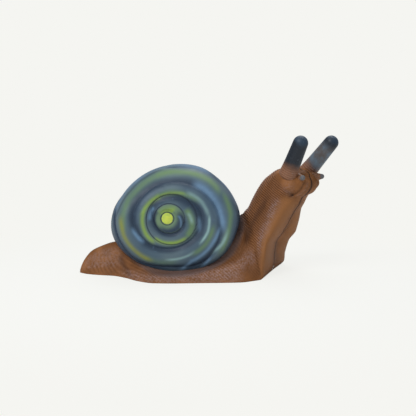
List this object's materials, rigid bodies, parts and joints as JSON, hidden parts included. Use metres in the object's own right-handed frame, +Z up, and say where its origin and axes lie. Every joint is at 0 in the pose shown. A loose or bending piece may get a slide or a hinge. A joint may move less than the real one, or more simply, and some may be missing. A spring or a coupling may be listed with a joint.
{
  "type": "snail_figurine",
  "caption": "Moulded garden snail ornament with a reddish-brown ribbed body, dark-tipped tentacles and a blue and green spiral shell with a yellow disc",
  "frame": {"origin": "on the ground, on the midline of the foot, under the front part of the shell", "axes": "+X runs along the straight part of the midline from the tail towards the head, +Y to the snail's left, +Z up"},
  "size_m": [0.5366, 0.244, 0.287],
  "materials": {
    "body_skin": "matt, hand-painted reddish brown",
    "shell_paint": "matt, airbrushed blue with green bands",
    "button_yellow": "matt yellow paint",
    "tentacle_paint": "matt, dark at the tip and brown at the root",
    "seam_filler": "matt dark filler",
    "sole_grey": "matt",
    "pin_wood": "plain",
    "screw_steel": "zinc plated"
  },
  "bodies": {
    "root": {"body_right_half": "body_skin", "body_left_half": "body_skin", "body_seam_bead": "seam_filler", "body_dowels": "pin_wood", "shell_right_half": "shell_paint", "shell_left_half": "shell_paint", "shell_seam_bead": "seam_filler", "shell_dowels": "pin_wood", "shell_screws": "screw_steel", "apex_button_right": "button_yellow", "apex_button_left": "button_yellow", "upper_tentacle_right": "tentacle_paint", "upper_tentacle_left": "tentacle_paint", "lower_tentacle_right": "body_skin", "lower_tentacle_left": "body_skin", "sole_plate": "sole_grey", "sole_screws": "screw_steel"}
  },
  "joints": []
}
